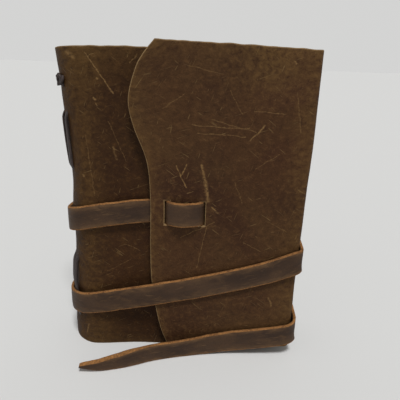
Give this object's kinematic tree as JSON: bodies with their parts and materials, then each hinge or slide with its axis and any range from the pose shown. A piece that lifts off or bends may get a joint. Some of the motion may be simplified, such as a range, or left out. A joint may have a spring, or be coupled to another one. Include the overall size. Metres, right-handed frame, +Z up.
{
  "type": "wrap journal",
  "caption": "Leather wrap journal with sewn pages, a fore-edge flap, and a long flat strap threaded through the flap and wound round the closed book.",
  "frame": {"origin": "on the surface that the journal stands on, under the middle of the box of the closed book without its strap", "axes": "+Z up along the spine, +X from the spine to the fore-edge, +Y from the front cover to the back cover"},
  "size_m": [0.1448, 0.0633, 0.1835],
  "materials": {
    "hide_leather": "waxed, matt, scuffed",
    "strap_leather": "waxed, matt, raw cut edges",
    "lace_leather": "soft, matt",
    "paper": "uncoated, torn edges"
  },
  "bodies": {
    "book": {"back_cover": "hide_leather", "spine_leather": "hide_leather", "front_cover_fold": "hide_leather", "fore_edge_rear_fold": "hide_leather", "signature_1_gutter": "paper", "signature_2_gutter": "paper", "signature_3": "paper", "signature_4": "paper", "signature_5": "paper", "stitch_lace_1_upper": "lace_leather", "stitch_lace_1_lower": "lace_leather", "stitch_lace_2_upper": "lace_leather", "stitch_lace_2_lower": "lace_leather", "stitch_lace_3_upper": "lace_leather", "stitch_lace_3_lower": "lace_leather", "stitch_lace_4_upper": "lace_leather", "stitch_lace_4_lower": "lace_leather", "stitch_lace_5_upper": "lace_leather", "stitch_lace_5_lower": "lace_leather", "lace_knot_1": "lace_leather", "lace_knot_2": "lace_leather", "lace_knot_3": "lace_leather", "lace_knot_4": "lace_leather", "lace_knot_5": "lace_leather"},
    "front_cover": {"front_cover": "hide_leather"},
    "front_leaves": {"signature_1_leaves": "paper", "signature_2_leaves": "paper"},
    "fore_edge": {"fore_edge_panel": "hide_leather", "fore_edge_front_fold": "hide_leather"},
    "flap": {"flap": "hide_leather"},
    "strap": {"wrap_strap": "strap_leather"},
    "strap_tail": {"strap_tail": "strap_leather"}
  },
  "joints": [
    {"name": "fore_edge_fold", "type": "hinge", "parent": "book", "child": "fore_edge", "pos_m": [0.06825, 0.0171, 0], "axis": [0, 0, 1], "range_deg": [0, 178]},
    {"name": "flap_fold", "type": "hinge", "parent": "fore_edge", "child": "flap", "pos_m": [0.06825, -0.0171, 0], "axis": [0, 0, 1], "range_deg": [0, 90]},
    {"name": "front_cover_hinge", "type": "hinge", "parent": "book", "child": "front_cover", "pos_m": [-0.05015, -0.0109, 0], "axis": [0, 0, 1], "range_deg": [-62.5, 0]},
    {"name": "front_leaves_hinge", "type": "hinge", "parent": "book", "child": "front_leaves", "pos_m": [-0.04815, -0.0095, 0], "axis": [0, 0, 1], "range_deg": [-48.5, 0]},
    {"name": "strap_lift", "type": "slide", "parent": "book", "child": "strap", "axis": [0, 0, 1], "range_m": [0, 0.19], "deforming": ["wrap_strap"]},
    {"name": "strap_tail_swing", "type": "hinge", "parent": "strap", "child": "strap_tail", "pos_m": [0.0726, -0.014, 0.0176], "axis": [0, 0, 1], "range_deg": [0, 100], "deforming": ["strap_tail"]}
  ],
  "couplings": [
    {"joint": "flap_fold", "follows": "fore_edge_fold", "ratio": 0.505},
    {"joint": "front_cover_hinge", "follows": "fore_edge_fold", "ratio": -0.35},
    {"joint": "front_leaves_hinge", "follows": "fore_edge_fold", "ratio": -0.27},
    {"joint": "strap_lift", "follows": "fore_edge_fold", "m_per_rad": 0.0611}
  ]
}
